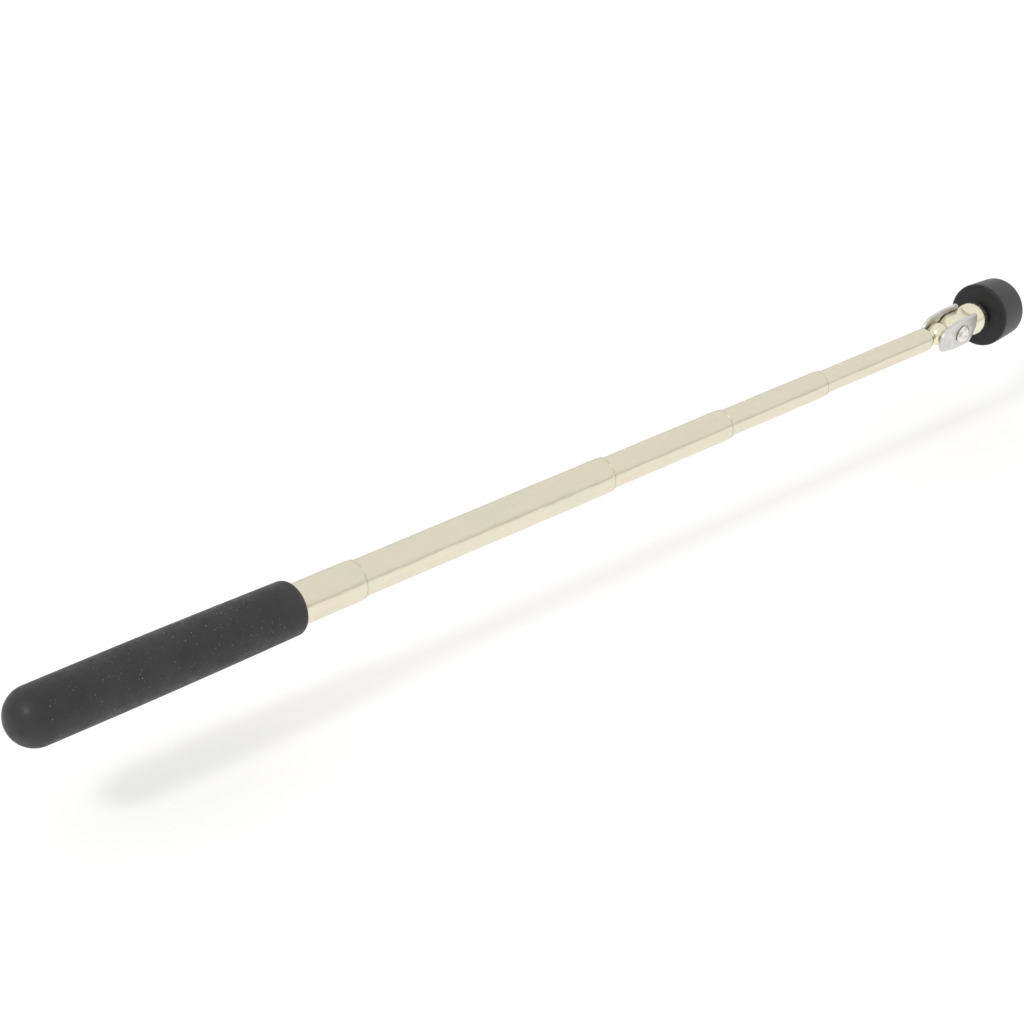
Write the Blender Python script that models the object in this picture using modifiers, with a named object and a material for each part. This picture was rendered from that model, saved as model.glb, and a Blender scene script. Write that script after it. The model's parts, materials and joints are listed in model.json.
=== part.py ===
"""Telescopic magnetic pick-up tool, partly drawn out, lying along +X.

A dip-moulded grip holds the outermost of five nested tubes. Each inner tube carries a
turned stop bush and a bronze friction spring at its rear end, and slides behind the
rolled-in mouth of the tube around it. The last tube ends in a spinning ball stud. Two
stamped plates clamp the ball, and one rivet hinges the magnet head between them.

Lengths are in millimetres and are turned into metres by MM.
"""

import math

import bmesh
import bpy
from mathutils import Vector

MM = 0.001

# Fits
RUN = 0.08            # running clearance on a radius
REST = 0.2            # gap between two pieces that are fixed face to face
ROUND_STEPS = 32      # facets round the tubes, the grip and the magnet
SMALL_STEPS = 24      # facets round bushes, pins, rivets and studs

# Telescopic tubes, outermost first
TUBE_COUNT = 5
TUBE_RADIUS = 5.9     # outer radius of the outermost tube
TUBE_STEP = 0.6       # each tube's radius is this much less than the one around it
TUBE_WALL = 0.35
MOUTH_LENGTH = 2.6    # rolled-in stretch at a tube's mouth
MOUTH_LIP = 0.3       # rounding of the mouth's edge
TUBE_1_LENGTH = 105.0
STUB = 3.5            # what each tube still shows when it is pushed right in
DRAWN_2 = 90.5        # what tubes 2 to 5 show as they are drawn out here
DRAWN_3 = 46.7
DRAWN_4 = 40.1
DRAWN_5 = 46.1
PARKED_GAP = 0.6      # room between two stop bushes when the tool is pushed in

# Grip and the plug that closes the outermost tube
GRIP_LENGTH = 91.0
GRIP_RADIUS = 8.3     # at the rounded butt
GRIP_MOUTH_RADIUS = 7.75
GRIP_TAPER_START = 33.0
GRIP_EDGE = 2.2       # rounding of the mouth's outer edge
BUTT_WALL = 5.6       # solid thickness behind the tube
PLUG_LIP = 1.2
PLUG_SPIGOT = 5.0
PLUG_BORE = 2.0

# Stop bush and friction spring behind each inner tube
BUSH_REAR_FLANGE = 1.2
BUSH_GROOVE = 5.2
BUSH_FRONT_FLANGE = 1.0
BUSH_SPIGOT = 4.0
BUSH_WALL = 0.7
SPRING_THICKNESS = 0.25
SPRING_OPENING = 40.0  # degrees left open in the spring's ring

# Nose of the last tube, and the ball stud that spins in it
NOSE_LENGTH = 1.4
NOSE_SHARE = 0.74     # radius of the nose's flat end, as a share of the last tube's radius
NOSE_BUSH_LENGTH = 6.0
STUD_SHARE = 0.46     # the same for the stud's shank
STUD_HEAD_SHARE = 0.71  # and for its upset end
STUD_HEAD = 1.0
WASHER_THICKNESS = 0.5
BALL_RADIUS = 3.5
BALL_GAP = 1.3        # bare neck between the nose and the ball

# Link plates, along their own axis from the ball
LINK_GAP = 1.2        # between the ball and the magnet's tongue
PLATE_THICKNESS = 0.9
PLATE_SEAT = 0.52     # depth of the ball's seat in each plate
SEAT_CLEARANCE = 0.12
LOBE_MARGIN = 0.9     # the round end about the ball is this much larger than the ball
LOBE_OFFSET = 0.4     # and its centre this far towards the rivet
PLATE_HALF_HEIGHT = 5.0
PLATE_END_RADIUS = 8.2  # round end about the rivet
PLATE_CORNER = 1.2    # rounding between that end and the straight edges
RIVET_RADIUS = 1.5
RIVET_HEAD_RADIUS = 2.75
RIVET_HEAD = 1.5

# Magnet head, along its own axis from the rivet
TONGUE_RADIUS = 3.3
BOSS_RADIUS = 5.1
BOSS_OFFSET = 3.7     # from the plates' ends to the boss's centre
BOSS_SINK = 4.1       # from the boss's centre to the back of the head
HEAD_RADIUS = 9.8     # at the back of the head
HEAD_TAPER = 0.6      # the front is this much smaller in radius
HEAD_LENGTH = 12.6
SHROUD_WALL = 1.6     # at the front
SHROUD_EDGE = 1.0
SHROUD_SETBACK = 0.2  # the pulling face stands this far out of the shroud
CUP_WALL = 1.0
CUP_BASE = 1.6
TAIL_RADIUS = 2.0
TAIL_HEAD_RADIUS = 3.0
TAIL_HEAD = 0.9
POLE_RADIUS = 2.9
RING_GAP = 0.4        # resin gap round the magnet ring

# How the head is turned here, in degrees
HEAD_ROLL = 10.0
LINK_YAW = 9.5
LINK_DROP = 8.5

# Sizes that follow from the ones above
LAST_RADIUS = TUBE_RADIUS - TUBE_STEP * (TUBE_COUNT - 1)
NOSE_RADIUS = NOSE_SHARE * LAST_RADIUS
STUD_RADIUS = STUD_SHARE * LAST_RADIUS
STUD_HEAD_RADIUS = STUD_HEAD_SHARE * LAST_RADIUS
BUSH_REACH = BUSH_REAR_FLANGE + BUSH_GROOVE + BUSH_FRONT_FLANGE
BALL_REACH = BALL_RADIUS + BALL_GAP                   # from the nose to the ball's centre
LINK_REACH = BALL_RADIUS + LINK_GAP + TONGUE_RADIUS   # from there to the rivet
PLATE_LOBE = BALL_RADIUS + LOBE_MARGIN
PLATE_INNER = BALL_RADIUS + SEAT_CLEARANCE - PLATE_SEAT
TONGUE_HALF = PLATE_INNER - 2 * REST
BOSS_REACH = PLATE_END_RADIUS + BOSS_OFFSET           # from the rivet to the boss's centre
HEAD_REACH = BOSS_REACH + BOSS_SINK                   # and to the back of the head
CUP_RADIUS = HEAD_RADIUS - HEAD_TAPER - SHROUD_WALL - REST
TUBE_1_REAR = BUTT_WALL + REST + PLUG_LIP + REST

COLLECTION = "magnetic_pickup_tool"


def tube_radius(number):
    """Outer radius of a tube; tube 1 is the outermost."""
    return TUBE_RADIUS - TUBE_STEP * (number - 1)


def tube_bore(number):
    return tube_radius(number) - TUBE_WALL


def mouth_bore(number):
    """The rolled-in mouth runs on the next tube in."""
    return tube_radius(number + 1) + RUN


def tube_fronts():
    """Where each tube's mouth is along the tool, from the butt."""
    fronts = [TUBE_1_REAR + TUBE_1_LENGTH]
    for drawn in (DRAWN_2, DRAWN_3, DRAWN_4, DRAWN_5):
        fronts.append(fronts[-1] + drawn)
    return fronts


def tube_lengths():
    """Each tube is as long as it can be when all are pushed in, stop bush behind stop bush."""
    lengths = [TUBE_1_LENGTH]
    for number in range(2, TUBE_COUNT + 1):
        spigot = PLUG_SPIGOT if number == 2 else BUSH_SPIGOT
        lengths.append(lengths[-1] + STUB - spigot - PARKED_GAP - BUSH_REACH - REST)
    return lengths


# ---------------------------------------------------------------- modelling helpers


def material(name, colour, roughness, metallic):
    made = bpy.data.materials.new(name)
    made.use_nodes = True
    shader = made.node_tree.nodes["Principled BSDF"]
    shader.inputs["Base Color"].default_value = (*colour, 1.0)
    shader.inputs["Roughness"].default_value = roughness
    shader.inputs["Metallic"].default_value = metallic
    return made


FINISHES = {
    "black_vinyl": ((0.022, 0.024, 0.027), 0.6, 0.0),
    "plated_tube": ((0.72, 0.68, 0.58), 0.28, 1.0),
    "turned_brass": ((0.66, 0.51, 0.25), 0.3, 1.0),
    "spring_bronze": ((0.60, 0.38, 0.20), 0.35, 1.0),
    "yellow_zinc": ((0.74, 0.68, 0.42), 0.25, 1.0),
    "grey_zinc": ((0.50, 0.50, 0.49), 0.4, 1.0),
    "black_plastic": ((0.03, 0.03, 0.033), 0.45, 0.0),
    "magnet_nickel": ((0.62, 0.62, 0.60), 0.3, 1.0),
}


def finish(part, slot):
    """Give a part its own material in one of the tool's finishes."""
    part.data.materials.clear()
    part.data.materials.append(material(part.name, *FINISHES[slot]))
    if part.type == "MESH":
        part.data.shade_smooth()
        part.data.set_sharp_from_angle(angle=math.radians(35))


def turned(name, profile, steps=ROUND_STEPS, closed=True):
    """A turned piece about local Z. The profile is (radius, height) pairs, outer side first,
    from the top down; a hollow piece's profile closes on itself up its inner side."""
    mesh = bpy.data.meshes.new(name)
    count = len(profile)
    edges = [(i, i + 1) for i in range(count - 1)]
    if closed:
        edges.append((count - 1, 0))
    mesh.from_pydata([(r * MM, 0.0, z * MM) for r, z in profile], edges, [])
    part = bpy.data.objects.new(name, mesh)
    screw = part.modifiers.new("turn", "SCREW")
    screw.axis = "Z"
    screw.steps = screw.render_steps = steps
    screw.use_merge_vertices = True
    screw.merge_threshold = 1e-7
    return part


def arc(centre_x, centre_y, radius, start, end, steps):
    """Points along an arc, in degrees, both ends included."""
    angles = [math.radians(start + (end - start) * i / steps) for i in range(steps + 1)]
    return [(centre_x + radius * math.cos(a), centre_y + radius * math.sin(a)) for a in angles]


def flat(name, outlines, thickness):
    """A flat piece in local XY, centred on Z; the second and later outlines are holes."""
    curve = bpy.data.curves.new(name, "CURVE")
    curve.dimensions = "2D"
    curve.fill_mode = "BOTH"
    curve.extrude = thickness / 2 * MM
    for outline in outlines:
        spline = curve.splines.new("POLY")
        spline.points.add(len(outline) - 1)
        for point, (x, y) in zip(spline.points, outline):
            point.co = (x * MM, y * MM, 0.0, 1.0)
        spline.use_cyclic_u = True
    drawn = bpy.data.objects.new(name, curve)
    PARTS.objects.link(drawn)
    bpy.context.view_layer.update()
    graph = bpy.context.evaluated_depsgraph_get()
    mesh = bpy.data.meshes.new_from_object(drawn.evaluated_get(graph))
    bpy.data.objects.remove(drawn)
    mesh.name = name
    welded = bmesh.new()
    welded.from_mesh(mesh)
    bmesh.ops.remove_doubles(welded, verts=welded.verts, dist=1e-7)
    welded.to_mesh(mesh)
    welded.free()
    return bpy.data.objects.new(name, mesh)


def box(name, low, high):
    mesh = bpy.data.meshes.new(name)
    cube = bmesh.new()
    bmesh.ops.create_cube(cube, size=1.0)
    for vert in cube.verts:
        vert.co = Vector([(a + (c + 0.5) * (b - a)) * MM for a, b, c in zip(low, high, vert.co)])
    cube.to_mesh(mesh)
    cube.free()
    return bpy.data.objects.new(name, mesh)


def ball(name, radius, segments):
    mesh = bpy.data.meshes.new(name)
    sphere = bmesh.new()
    bmesh.ops.create_uvsphere(sphere, u_segments=segments, v_segments=segments // 2, radius=radius * MM)
    sphere.to_mesh(mesh)
    sphere.free()
    return bpy.data.objects.new(name, mesh)


def cylinder(name, radius, length, steps=SMALL_STEPS):
    mesh = bpy.data.meshes.new(name)
    rod = bmesh.new()
    bmesh.ops.create_cone(
        rod, cap_ends=True, segments=steps, radius1=radius * MM, radius2=radius * MM, depth=length * MM
    )
    rod.to_mesh(mesh)
    rod.free()
    return bpy.data.objects.new(name, mesh)


def empty(name, parent, location=(0, 0, 0)):
    frame = bpy.data.objects.new(name, None)
    PARTS.objects.link(frame)
    frame.parent = parent
    frame.location = Vector(location) * MM
    return frame


def place(part, parent, slot, location=(0, 0, 0), turn=(0, 0, 0)):
    PARTS.objects.link(part)
    part.parent = parent
    part.location = Vector(location) * MM
    part.rotation_euler = [math.radians(a) for a in turn]
    finish(part, slot)
    return part


def shape_with(part, tool, operation, location=(0, 0, 0), turn=(0, 0, 0)):
    """Cut a part by a tool, or join them, with the tool placed in the part's own frame."""
    GUIDES.objects.link(tool)
    tool.parent = part
    tool.location = Vector(location) * MM
    tool.rotation_euler = [math.radians(a) for a in turn]
    tool.hide_render = True
    tool.display_type = "WIRE"
    cut = part.modifiers.new(tool.name, "BOOLEAN")
    cut.operation = operation
    cut.solver = "EXACT"
    cut.object = tool


# ---------------------------------------------------------------- pieces along the tool

ALONG_TOOL = (0, 90, 0)   # a turned piece's local Z points along the tool


def grip_sleeve(parent):
    """Dip-moulded sleeve: a round butt, a slight taper and a rounded mouth."""
    bore = TUBE_RADIUS + REST
    edge_centre = GRIP_LENGTH - GRIP_EDGE
    mouth = arc(GRIP_MOUTH_RADIUS - GRIP_EDGE, edge_centre, GRIP_EDGE, 90, 0, 5)
    mouth = [(r, z) for r, z in mouth if r > bore]
    butt = arc(0, GRIP_RADIUS, GRIP_RADIUS, 0, -90, 8)
    profile = [(bore, mouth[0][1] - REST), *mouth, (GRIP_RADIUS, GRIP_TAPER_START), *butt, (0, BUTT_WALL)]
    profile.append((bore, BUTT_WALL))
    sleeve = turned("grip_sleeve", profile, closed=True)
    place(sleeve, parent, "black_vinyl", turn=ALONG_TOOL)


def tube_plug(parent):
    """Turned plug that closes the outermost tube's rear end inside the grip."""
    spigot = tube_bore(1) - RUN
    seat = PLUG_LIP + REST
    profile = [
        (PLUG_BORE, seat + PLUG_SPIGOT),
        (spigot, seat + PLUG_SPIGOT),
        (spigot, PLUG_LIP),
        (TUBE_RADIUS, PLUG_LIP),
        (TUBE_RADIUS, 0),
        (PLUG_BORE, 0),
    ]
    place(turned("tube_plug", profile, SMALL_STEPS), parent, "turned_brass", (BUTT_WALL + REST, 0, 0), ALONG_TOOL)


def telescopic_tube(parent, number, length):
    """A drawn tube; its mouth is rolled in to run on the next tube in."""
    outer, bore, mouth = tube_radius(number), tube_bore(number), mouth_bore(number)
    lip = mouth + TUBE_WALL
    profile = [
        (mouth, 0),
        (lip - MOUTH_LIP / 2, 0),
        (lip, -MOUTH_LIP),
        (outer, -MOUTH_LENGTH),
        (outer, -length),
        (bore, -length),
        (bore, -MOUTH_LENGTH),
        (mouth, -MOUTH_LENGTH / 2),
    ]
    place(turned(f"tube_{number}", profile), parent, "plated_tube", turn=ALONG_TOOL)


def nose_tube(parent, length):
    """The last tube; its end is spun in to a round nose that holds the stud's bush."""
    outer, bore = tube_radius(TUBE_COUNT), tube_bore(TUBE_COUNT)
    nose = [
        (NOSE_RADIUS + (outer - NOSE_RADIUS) * math.sin(a), -NOSE_LENGTH * (1 - math.cos(a)))
        for a in (math.radians(22.5 * i) for i in range(5))
    ]
    inner = NOSE_RADIUS - TUBE_WALL
    profile = [
        (inner, 0),
        *nose,
        (outer, -length),
        (bore, -length),
        (bore, -NOSE_LENGTH - REST),
        (inner, -TUBE_WALL - REST),
    ]
    place(turned(f"tube_{TUBE_COUNT}", profile), parent, "plated_tube", turn=ALONG_TOOL)


def stop_bush(parent, number, length):
    """Turned bush pressed into a tube's rear end: two flanges, a groove and a spigot."""
    flange = tube_bore(number - 1) - RUN
    spigot = tube_bore(number) - RUN
    groove = flange - SPRING_THICKNESS - REST - RUN
    bore = spigot - BUSH_WALL
    front = -length - REST
    profile = [
        (bore, -length + BUSH_SPIGOT),
        (spigot, -length + BUSH_SPIGOT),
        (spigot, front),
        (flange, front),
        (flange, front - BUSH_FRONT_FLANGE),
        (groove, front - BUSH_FRONT_FLANGE),
        (groove, front - BUSH_REACH + BUSH_REAR_FLANGE),
        (flange, front - BUSH_REACH + BUSH_REAR_FLANGE),
        (flange, front - BUSH_REACH),
        (bore, front - BUSH_REACH),
    ]
    place(turned(f"stop_bush_{number}", profile, SMALL_STEPS), parent, "turned_brass", turn=ALONG_TOOL)


def friction_spring(parent, number, length):
    """Open bronze ring in the stop bush's groove; it drags on the tube around it."""
    outer = tube_bore(number - 1) - RUN
    half_open = SPRING_OPENING / 2
    outline = arc(0, 0, outer, half_open, 360 - half_open, SMALL_STEPS)
    outline += arc(0, 0, outer - SPRING_THICKNESS, 360 - half_open, half_open, SMALL_STEPS)
    spring = flat(f"friction_spring_{number}", [outline], BUSH_GROOVE - 2 * REST)
    middle = -length - REST - BUSH_FRONT_FLANGE - BUSH_GROOVE / 2
    place(spring, parent, "spring_bronze", (middle, 0, 0), ALONG_TOOL)


def nose_bush(parent):
    """Plain bush behind the nose, in which the stud's shank spins."""
    outer = tube_bore(TUBE_COUNT) - RUN
    bore = STUD_RADIUS + RUN
    front = -NOSE_LENGTH - 2 * REST
    profile = [
        (bore, front),
        (outer, front),
        (outer, front - NOSE_BUSH_LENGTH),
        (bore, front - NOSE_BUSH_LENGTH),
    ]
    place(turned("nose_bush", profile, SMALL_STEPS), parent, "turned_brass", turn=ALONG_TOOL)


def swivel_stud(parent):
    """Ball, neck and shank in one piece, with the shank's end upset behind the washer."""
    back = -BALL_REACH - NOSE_LENGTH - 2 * REST - NOSE_BUSH_LENGTH
    head = back - 2 * REST - WASHER_THICKNESS
    neck_angle = math.degrees(math.asin(STUD_RADIUS / BALL_RADIUS))
    round_ball = arc(0, 0, BALL_RADIUS, 90, -90 + neck_angle, 12)
    profile = [
        *round_ball,
        (STUD_RADIUS, head),
        (STUD_HEAD_RADIUS, head),
        (STUD_HEAD_RADIUS, head - STUD_HEAD),
        (0, head - STUD_HEAD),
    ]
    profile[0] = (0, BALL_RADIUS)
    place(turned("swivel_stud", profile, SMALL_STEPS, closed=False), parent, "yellow_zinc", turn=ALONG_TOOL)


def stud_washer(parent):
    """Thin washer between the nose bush and the stud's upset end."""
    front = -NOSE_LENGTH - 2 * REST - NOSE_BUSH_LENGTH - REST
    bore, outer = STUD_RADIUS + RUN, STUD_HEAD_RADIUS + REST
    back = front - WASHER_THICKNESS
    profile = [(bore, front), (outer, front), (outer, back), (bore, back)]
    place(turned("stud_washer", profile, SMALL_STEPS), parent, "grey_zinc", turn=ALONG_TOOL)


# ---------------------------------------------------------------- swivel link

FLAT_SIDE = (90, 0, 0)    # a flat piece's thickness runs across the tool


def plate_outline():
    """A link plate: a lobe about the ball, two straight edges and a round end about the rivet."""
    corner_rise = PLATE_HALF_HEIGHT - PLATE_CORNER
    corner_reach = math.sqrt((PLATE_END_RADIUS - PLATE_CORNER) ** 2 - corner_rise**2)
    corner_angle = math.degrees(math.atan2(corner_rise, corner_reach))
    corner_x = LINK_REACH + corner_reach
    shoulder = LINK_REACH - RIVET_HEAD_RADIUS
    rise = math.degrees(math.atan2(PLATE_HALF_HEIGHT - PLATE_LOBE, shoulder - LOBE_OFFSET))
    outline = arc(corner_x, -corner_rise, PLATE_CORNER, -90, -corner_angle, 3)
    outline += arc(LINK_REACH, 0, PLATE_END_RADIUS, -corner_angle, corner_angle, 8)[1:-1]
    outline += arc(corner_x, corner_rise, PLATE_CORNER, corner_angle, 90, 3)
    outline += [(shoulder, PLATE_HALF_HEIGHT)]
    outline += arc(LOBE_OFFSET, 0, PLATE_LOBE, 90 - rise, 270 + rise, 16)
    outline += [(shoulder, -PLATE_HALF_HEIGHT)]
    return outline


def link_plates(parent):
    """Two stamped plates, one each side of the ball, with a shallow seat for it."""
    hole = arc(LINK_REACH, 0, RIVET_RADIUS + RUN, 0, 360, SMALL_STEPS)[:-1]
    middle = PLATE_INNER + PLATE_THICKNESS / 2
    for name, side in (("link_plate_front", -1), ("link_plate_rear", 1)):
        plate = flat(name, [plate_outline(), hole], PLATE_THICKNESS)
        place(plate, parent, "grey_zinc", (0, side * middle, 0), FLAT_SIDE)
        seat = ball(f"{name}_seat", BALL_RADIUS + SEAT_CLEARANCE, SMALL_STEPS)
        shape_with(plate, seat, "DIFFERENCE", (0, 0, side * middle))


def link_rivet(parent):
    """Rivet through both plates and the magnet's tongue, domed at both ends."""
    seat = PLATE_INNER + PLATE_THICKNESS + REST
    rise = [(RIVET_HEAD_RADIUS * math.cos(a), seat + RIVET_HEAD * math.sin(a))
            for a in (math.radians(15 * i) for i in range(6))]
    top = [(0, seat + RIVET_HEAD), *reversed(rise), (RIVET_RADIUS, seat)]
    profile = top + [(r, -z) for r, z in reversed(top)]
    rivet = turned("link_rivet", profile, SMALL_STEPS, closed=False)
    place(rivet, parent, "grey_zinc", (LINK_REACH, 0, 0), FLAT_SIDE)


# ---------------------------------------------------------------- magnet head


def magnet_stem(parent):
    """Turned stem: round boss, tongue with flats for the plates, and a tail riveted in the cup."""
    back = HEAD_REACH - REST
    neck = arc(BOSS_REACH, 0, BOSS_RADIUS, 180, math.degrees(math.acos((back - BOSS_REACH) / BOSS_RADIUS)), 14)
    tail_end = HEAD_REACH + SHROUD_WALL + REST + CUP_BASE + REST
    profile = [
        (0, tail_end + TAIL_HEAD),
        (TAIL_HEAD_RADIUS, tail_end + TAIL_HEAD),
        (TAIL_HEAD_RADIUS, tail_end),
        (TAIL_RADIUS, tail_end),
        (TAIL_RADIUS, back),
        *[(abs(y), x) for x, y in reversed(neck)],
    ]
    profile[-1] = (0, BOSS_REACH - BOSS_RADIUS)
    stem = turned("magnet_stem", profile, ROUND_STEPS, closed=False)
    place(stem, parent, "yellow_zinc", turn=ALONG_TOOL)
    outline = arc(0, 0, TONGUE_RADIUS, 90, 270, 12)
    outline += [(BOSS_REACH, -TONGUE_RADIUS), (BOSS_REACH, TONGUE_RADIUS)]
    tongue = flat("stem_tongue", [outline], 2 * TONGUE_HALF)
    shape_with(stem, tongue, "UNION", turn=(90, -90, 0))
    flat_end = PLATE_END_RADIUS + 2 * REST
    for name, side in (("stem_flat_front", -1), ("stem_flat_rear", 1)):
        near, far = side * TONGUE_HALF, side * 2 * BOSS_RADIUS
        low, high = min(near, far), max(near, far)
        waste = box(name, (-2 * BOSS_RADIUS, low, -HEAD_REACH), (2 * BOSS_RADIUS, high, flat_end))
        shape_with(stem, waste, "DIFFERENCE")
    hole = cylinder("stem_hole", RIVET_RADIUS + RUN, 4 * BOSS_RADIUS)
    shape_with(stem, hole, "DIFFERENCE", turn=(90, 0, 0))


def magnet_shroud(parent):
    """Black moulded cap over the back and the side of the magnet, tapered towards its mouth."""
    front = HEAD_REACH + HEAD_LENGTH - SHROUD_SETBACK
    inner = CUP_RADIUS + REST
    floor = HEAD_REACH + SHROUD_WALL
    bore = TAIL_RADIUS + REST
    front_edge = arc(inner + SHROUD_WALL - SHROUD_EDGE, front - SHROUD_EDGE, SHROUD_EDGE, 90, 0, 4)
    back_edge = arc(HEAD_RADIUS - SHROUD_EDGE, HEAD_REACH + SHROUD_EDGE, SHROUD_EDGE, 0, -90, 4)
    profile = [(inner, front), *front_edge, *back_edge, (bore, HEAD_REACH), (bore, floor), (inner, floor)]
    place(turned("magnet_shroud", profile), parent, "black_plastic", turn=ALONG_TOOL)


def magnet_cup(parent):
    """Steel cup that carries the magnet's flux to its rim."""
    front = HEAD_REACH + HEAD_LENGTH
    base = HEAD_REACH + SHROUD_WALL + REST
    inner = CUP_RADIUS - CUP_WALL
    bore = TAIL_RADIUS + REST
    profile = [
        (inner, front),
        (CUP_RADIUS, front),
        (CUP_RADIUS, base),
        (bore, base),
        (bore, base + CUP_BASE),
        (inner, base + CUP_BASE),
    ]
    place(turned("magnet_cup", profile), parent, "magnet_nickel", turn=ALONG_TOOL)


def magnet_ring(parent):
    """The magnet itself, a ring held in the cup."""
    front = HEAD_REACH + HEAD_LENGTH
    base = HEAD_REACH + SHROUD_WALL + REST + CUP_BASE + REST
    outer = CUP_RADIUS - CUP_WALL - RING_GAP
    inner = POLE_RADIUS + RING_GAP
    profile = [(inner, front), (outer, front), (outer, base), (inner, base)]
    place(turned("magnet_ring", profile, SMALL_STEPS), parent, "magnet_nickel", turn=ALONG_TOOL)


def centre_pole(parent):
    """Steel pole in the middle of the ring, over the stem's riveted tail."""
    front = HEAD_REACH + HEAD_LENGTH
    base = HEAD_REACH + SHROUD_WALL + REST + CUP_BASE + REST + TAIL_HEAD + REST
    profile = [(0, front), (POLE_RADIUS, front), (POLE_RADIUS, base), (0, base)]
    place(turned("centre_pole", profile, SMALL_STEPS, closed=False), parent, "magnet_nickel", turn=ALONG_TOOL)


# ---------------------------------------------------------------- assembly


def stand_on_origin(root):
    """Move the whole tool so that the middle of its underside is the origin."""
    bpy.context.view_layer.update()
    graph = bpy.context.evaluated_depsgraph_get()
    corners = []
    for part in PARTS.objects:
        if part.type == "MESH":
            shown = part.evaluated_get(graph)
            corners += [shown.matrix_world @ vert.co for vert in shown.data.vertices]
    low = Vector([min(corner[i] for corner in corners) for i in range(3)])
    high = Vector([max(corner[i] for corner in corners) for i in range(3)])
    root.location = (-(low.x + high.x) / 2, -(low.y + high.y) / 2, -low.z)


def build():
    fronts, lengths = tube_fronts(), tube_lengths()
    root = empty("tool_axis", None)
    grip_sleeve(root)
    tube_plug(root)
    for number, (front, length) in enumerate(zip(fronts, lengths), start=1):
        section = empty(f"section_{number}", root, (front, 0, 0))
        if number < TUBE_COUNT:
            telescopic_tube(section, number, length)
        else:
            nose_tube(section, length)
            nose_bush(section)
            stud_washer(section)
        if number > 1:
            stop_bush(section, number, length)
            friction_spring(section, number, length)
    ball_centre = (fronts[-1] + BALL_REACH, 0, 0)
    swivel = empty("swivel", root, ball_centre)
    swivel_stud(swivel)
    link = empty("link", swivel)
    link.rotation_mode = "YZX"
    link.rotation_euler = [math.radians(a) for a in (HEAD_ROLL, LINK_DROP, LINK_YAW)]
    link_plates(link)
    link_rivet(link)
    head = empty("magnet_head", link, (LINK_REACH, 0, 0))
    magnet_stem(head)
    magnet_shroud(head)
    magnet_cup(head)
    magnet_ring(head)
    centre_pole(head)
    stand_on_origin(root)


for leftover in list(bpy.data.objects):
    bpy.data.objects.remove(leftover)
PARTS = bpy.data.collections.new(COLLECTION)
GUIDES = bpy.data.collections.new("cutters")
bpy.context.scene.collection.children.link(PARTS)
bpy.context.scene.collection.children.link(GUIDES)
build()
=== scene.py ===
import json
import math

import bmesh
import bpy
from mathutils import Matrix, Vector


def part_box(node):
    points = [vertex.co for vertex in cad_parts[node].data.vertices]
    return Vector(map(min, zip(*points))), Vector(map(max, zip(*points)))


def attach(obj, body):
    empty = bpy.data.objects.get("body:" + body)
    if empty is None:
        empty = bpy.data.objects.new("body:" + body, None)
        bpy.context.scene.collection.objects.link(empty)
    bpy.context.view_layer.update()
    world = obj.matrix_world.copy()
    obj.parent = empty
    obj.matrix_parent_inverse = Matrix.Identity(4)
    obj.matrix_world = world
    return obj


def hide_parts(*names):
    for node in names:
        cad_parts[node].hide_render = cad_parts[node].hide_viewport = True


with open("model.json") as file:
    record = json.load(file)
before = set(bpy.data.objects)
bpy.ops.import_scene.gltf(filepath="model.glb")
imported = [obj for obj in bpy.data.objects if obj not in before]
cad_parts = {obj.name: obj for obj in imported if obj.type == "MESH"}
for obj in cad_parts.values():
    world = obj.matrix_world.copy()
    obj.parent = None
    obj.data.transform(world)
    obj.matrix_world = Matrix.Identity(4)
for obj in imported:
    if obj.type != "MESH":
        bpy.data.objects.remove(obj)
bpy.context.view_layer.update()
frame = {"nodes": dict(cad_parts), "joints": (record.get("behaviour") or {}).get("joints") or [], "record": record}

# ---------------------------------------------------------------------------------------
# The tool's two axes
# The tubes share one axis along +X. The magnet head has its own axis, turned at the ball
# in the link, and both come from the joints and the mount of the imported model.
# ---------------------------------------------------------------------------------------

MM = 0.001
joints = {joint["name"]: joint for joint in frame["joints"]}
ball_centre = Vector(joints["link_tilt"]["pos_m"])
rivet_centre = Vector(joints["magnet_tilt"]["pos_m"])
butt_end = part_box("grip_sleeve")[0].x


def axis_frame(origin, along, across):
    """The matrix that takes local Z to along and local Y to across, with its origin in place."""
    z = Vector(along).normalized()
    y = Vector(across).normalized()
    x = y.cross(z).normalized()
    turn = Matrix((x, y, z)).transposed().to_4x4()
    return Matrix.Translation(origin) @ turn


tool_line = axis_frame((butt_end, ball_centre.y, ball_centre.z), (1, 0, 0), (0, 1, 0))
link_axis = Vector(frame["record"]["mounts"][0]["axis"])
rivet_axis = Vector(joints["link_tilt"]["axis"])
ball_line = axis_frame(ball_centre, link_axis, rivet_axis)
head_line = axis_frame(rivet_centre, link_axis, rivet_axis)

# ---------------------------------------------------------------------------------------
# Grip sleeve
# Dip-moulded black vinyl, pushed over the rear of the outermost tube. It has a round
# closed butt, swells slightly towards it, and ends in a thick rolled lip at the mouth.
# ---------------------------------------------------------------------------------------

GRIP_LENGTH = 91.0
GRIP_RADIUS = 8.3
GRIP_MOUTH_RADIUS = 7.75
GRIP_STRAIGHT = 30.0      # where the long taper to the mouth begins
GRIP_TAPER_POWER = 1.7
GRIP_LIP = 2.3            # rounding of the mouth
GRIP_LIP_START = 74       # degrees, where that rounding leaves the bore
GRIP_BORE = 6.1
GRIP_BORE_SETBACK = 0.4   # the bore's edge is this far behind the mouth
GRIP_BUTT_WALL = 5.6
BARREL_STEPS = 12
FINE_FACETS = 96


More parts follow.
